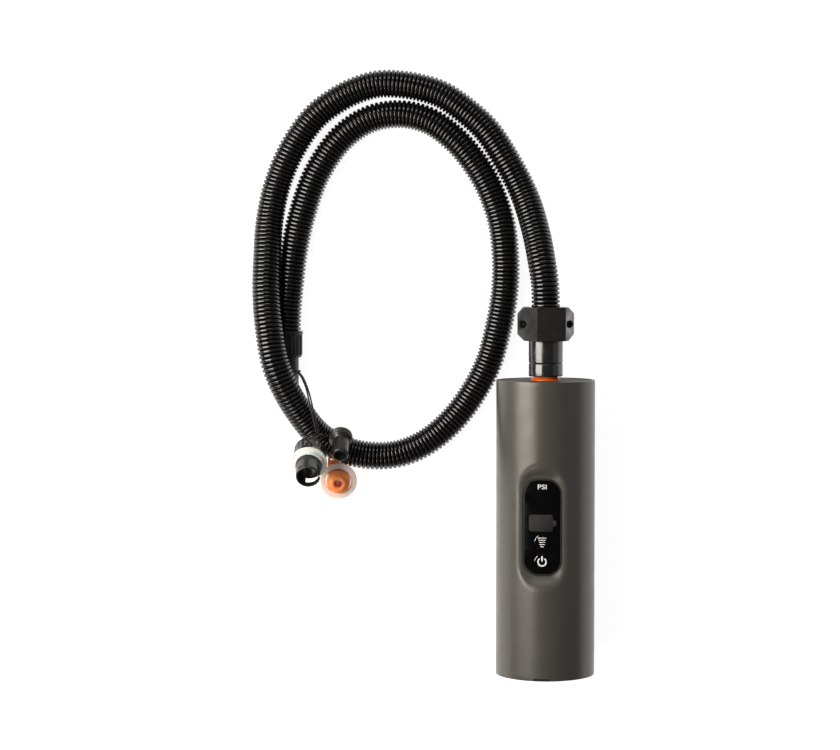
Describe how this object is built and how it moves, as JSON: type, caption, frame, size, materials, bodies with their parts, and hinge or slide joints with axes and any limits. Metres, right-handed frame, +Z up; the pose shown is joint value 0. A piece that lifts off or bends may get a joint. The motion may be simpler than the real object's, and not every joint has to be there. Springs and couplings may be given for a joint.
{
  "type": "electric air mattress pump",
  "caption": "Rechargeable cylindrical air pump with a pressure display, a corrugated hose with a clamped coupling, and valve adapters on a lanyard.",
  "frame": {"origin": "under the middle of the pump body with its outlet, on the plane it lies on", "axes": "+Y along the body from base to outlet, +Z up through the display side, +X to the right seen from above with the outlet ahead"},
  "size_m": [0.2952, 0.521, 0.0848],
  "materials": {
    "shell_grey": "satin",
    "black_plastic": "satin",
    "gloss_black": "gloss",
    "orange_plastic": "gloss",
    "soft_rubber": "matt",
    "clear_silicone": "translucent satin",
    "steel": "satin",
    "circuit_board": "satin",
    "cell_sleeve": "gloss",
    "inner_plastic": "matt"
  },
  "bodies": {
    "pump_body": {"outer_shell": "shell_grey", "top_cap": "shell_grey", "bottom_cap": "shell_grey", "foot_ring": "soft_rubber", "outlet_spout": "orange_plastic", "inlet_collar": "orange_plastic", "display_panel": "gloss_black", "panel_gasket": "soft_rubber", "power_switch": "steel", "level_switch": "steel", "display_module": "black_plastic", "control_board": "circuit_board", "charge_socket": "black_plastic", "cell_holder_lower": "black_plastic", "cell_holder_upper": "black_plastic", "fan_cover": "black_plastic", "fan_housing": "inner_plastic", "fan_motor": "steel", "air_duct": "inner_plastic", "outlet_manifold": "inner_plastic", "compressor_motor": "steel", "compressor_housing": "inner_plastic", "cylinder_head": "inner_plastic", "cap_screw_1": "steel", "cap_screw_2": "steel", "cap_screw_3": "steel", "battery_cell_1": "cell_sleeve", "battery_cell_2": "cell_sleeve", "battery_cell_3": "cell_sleeve", "battery_cell_4": "cell_sleeve"},
    "power_button": {"power_button": "gloss_black"},
    "level_button": {"level_button": "gloss_black"},
    "charge_flap": {"charge_flap": "soft_rubber"},
    "fan_rotor": {"fan_impeller": "inner_plastic", "fan_shaft": "steel"},
    "crank": {"crank_disc": "steel"},
    "piston": {"piston_rod": "black_plastic", "piston_seal": "soft_rubber"},
    "hose_set": {"coupling_ring": "gloss_black", "coupling_seal": "soft_rubber", "coupling_sleeve": "gloss_black", "collar_front": "black_plastic", "collar_back": "black_plastic", "collar_screw_left": "steel", "collar_screw_right": "steel", "hose": "gloss_black", "end_cuff": "black_plastic", "end_nozzle": "black_plastic", "lanyard_loop": "gloss_black", "lanyard_bead": "gloss_black", "lanyard_to_orange": "gloss_black", "lanyard_to_stepped": "gloss_black", "lanyard_to_bayonet": "gloss_black", "bayonet_adapter": "gloss_black", "bayonet_gasket": "clear_silicone", "stepped_adapter": "gloss_black", "orange_adapter": "orange_plastic", "orange_gasket": "clear_silicone"}
  },
  "joints": [
    {"name": "power_button_press", "type": "slide", "parent": "pump_body", "child": "power_button", "axis": [0.1201, 0, -0.9928], "range_m": [0, 0.0004], "stiffness_N_per_m": 800},
    {"name": "level_button_press", "type": "slide", "parent": "pump_body", "child": "level_button", "axis": [0.1201, 0, -0.9928], "range_m": [0, 0.0004], "stiffness_N_per_m": 800},
    {"name": "charge_flap_hinge", "type": "hinge", "parent": "pump_body", "child": "charge_flap", "pos_m": [0.04224, -0.08, 0.03783], "axis": [0, -1, 0], "range_deg": [0, 100]},
    {"name": "fan_spin", "type": "hinge", "parent": "pump_body", "child": "fan_rotor", "pos_m": [0, -0.11, 0.0425], "axis": [0, 1, 0], "continuous": true},
    {"name": "crank_spin", "type": "hinge", "parent": "pump_body", "child": "crank", "pos_m": [0, 0.051, 0.0425], "axis": [0, 1, 0], "continuous": true},
    {"name": "rod_swing", "type": "hinge", "parent": "crank", "child": "piston", "pos_m": [-0.00298, 0.051, 0.04214], "axis": [0, 1, 0], "continuous": true},
    {"name": "coupling_pull", "type": "slide", "parent": "pump_body", "child": "hose_set", "axis": [0, 1, 0], "range_m": [0, 0.024]}
  ],
  "couplings": [
    {"joint": "rod_swing", "follows": "crank_spin", "ratio": -1}
  ]
}
